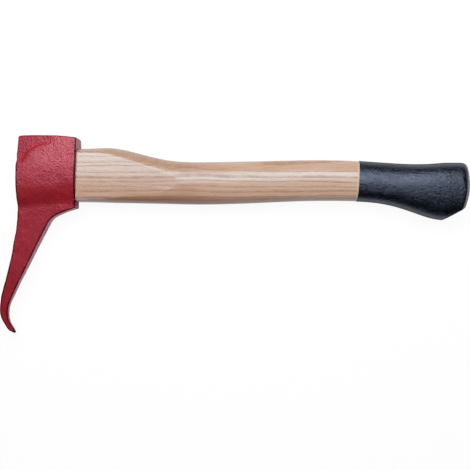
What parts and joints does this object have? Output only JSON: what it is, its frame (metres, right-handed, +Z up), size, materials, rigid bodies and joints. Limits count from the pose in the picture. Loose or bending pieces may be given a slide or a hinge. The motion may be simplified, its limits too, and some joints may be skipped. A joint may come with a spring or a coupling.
{
  "type": "pickaroon",
  "caption": "Hand pickaroon: a forged, red-painted hooked pick wedged on a short wooden handle with a dipped black grip, for dragging and turning logs.",
  "frame": {"origin": "on the surface that the tool lies on, at the flat of the lower cheek under the middle of the eye", "axes": "+X along the handle from the head to the foot, +Y from the pick's point to the top of the poll, +Z up through the cheeks"},
  "size_m": [0.4164, 0.1746, 0.031],
  "materials": {
    "red_paint": "satin",
    "hickory": "satin",
    "wedge_wood": "matte",
    "bare_steel": "satin",
    "black_coating": "matte"
  },
  "bodies": {
    "root": {"head": "red_paint", "handle": "hickory", "wooden_wedge": "wedge_wood", "ring_wedge": "bare_steel", "grip_coating": "black_coating"}
  },
  "joints": []
}
